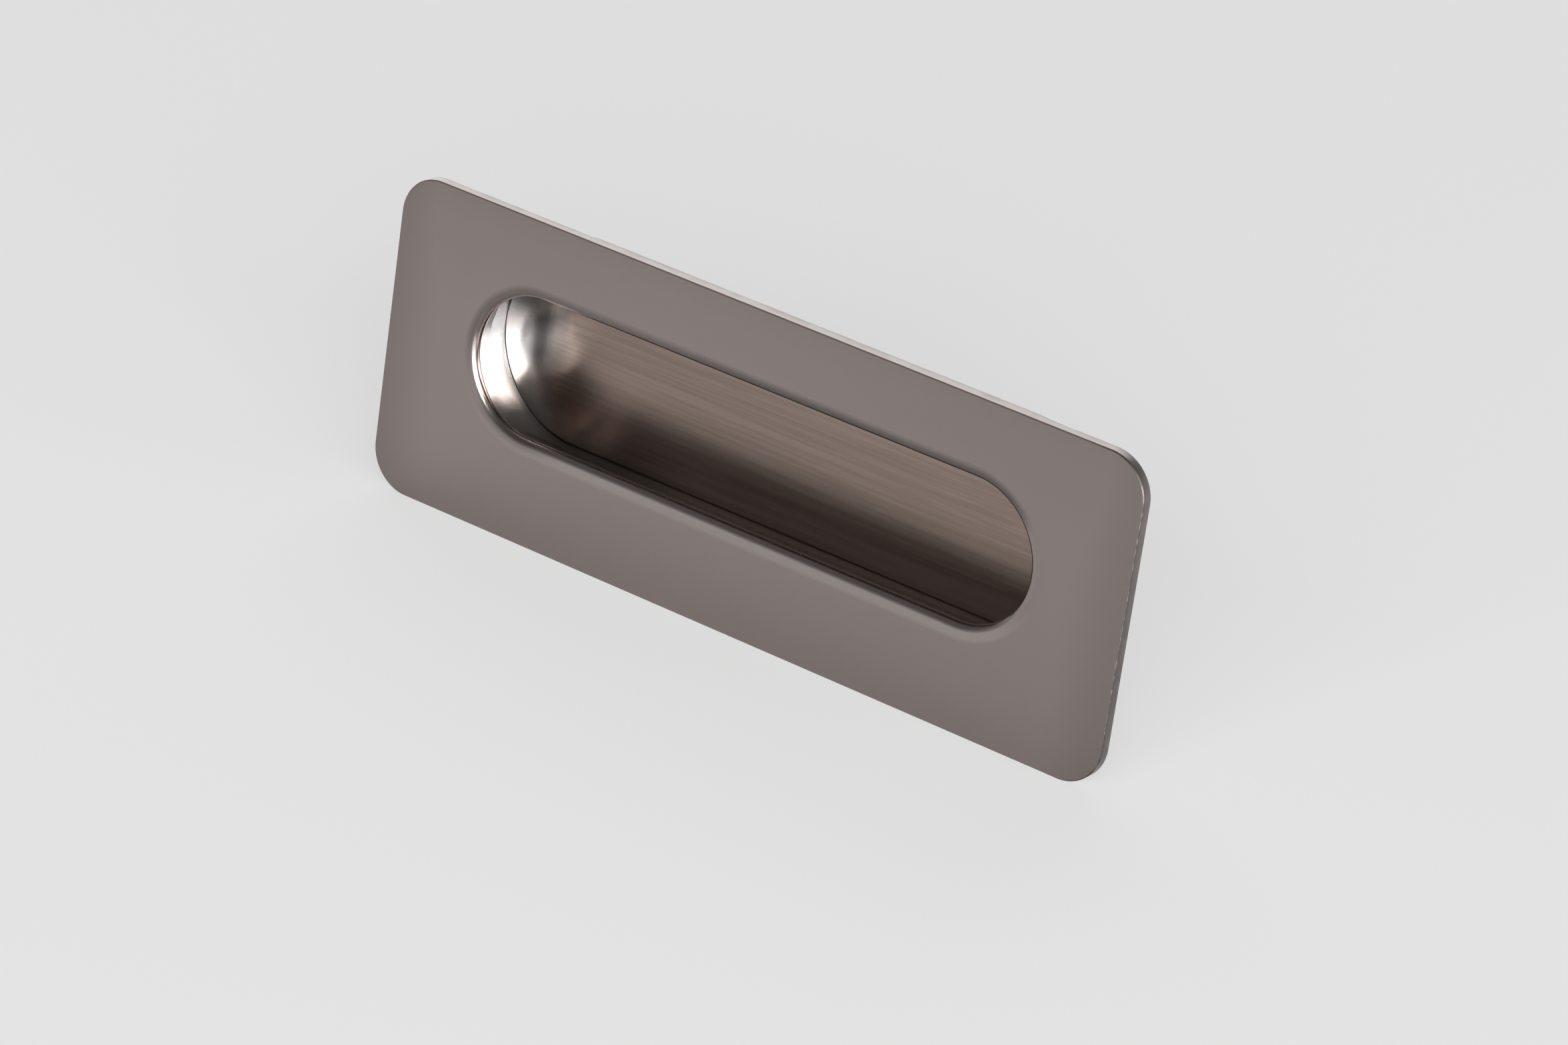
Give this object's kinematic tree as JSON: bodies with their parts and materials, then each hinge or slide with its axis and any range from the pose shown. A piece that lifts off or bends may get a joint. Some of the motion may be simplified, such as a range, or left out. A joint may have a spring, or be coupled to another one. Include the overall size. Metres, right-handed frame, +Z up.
{
  "type": "flush pull",
  "caption": "Rectangular flush pull with a round-ended finger pocket, let into a sliding door or drawer front and held by screws from behind.",
  "frame": {"origin": "on the panel's surface, which is the back plane of the face plate, at the middle of the pocket and its cut-out", "axes": "+X along the plate, +Z up towards the edge that the pocket lies nearer to, +Y into the panel; the visible face looks towards -Y"},
  "size_m": [0.12, 0.0128, 0.0456],
  "materials": {
    "casting": "satin nickel-coloured plating on a zinc casting, polished inside the pocket",
    "sheet": "brushed along its length"
  },
  "bodies": {
    "root": {"body": "casting", "floor_plate": "sheet"}
  },
  "joints": []
}
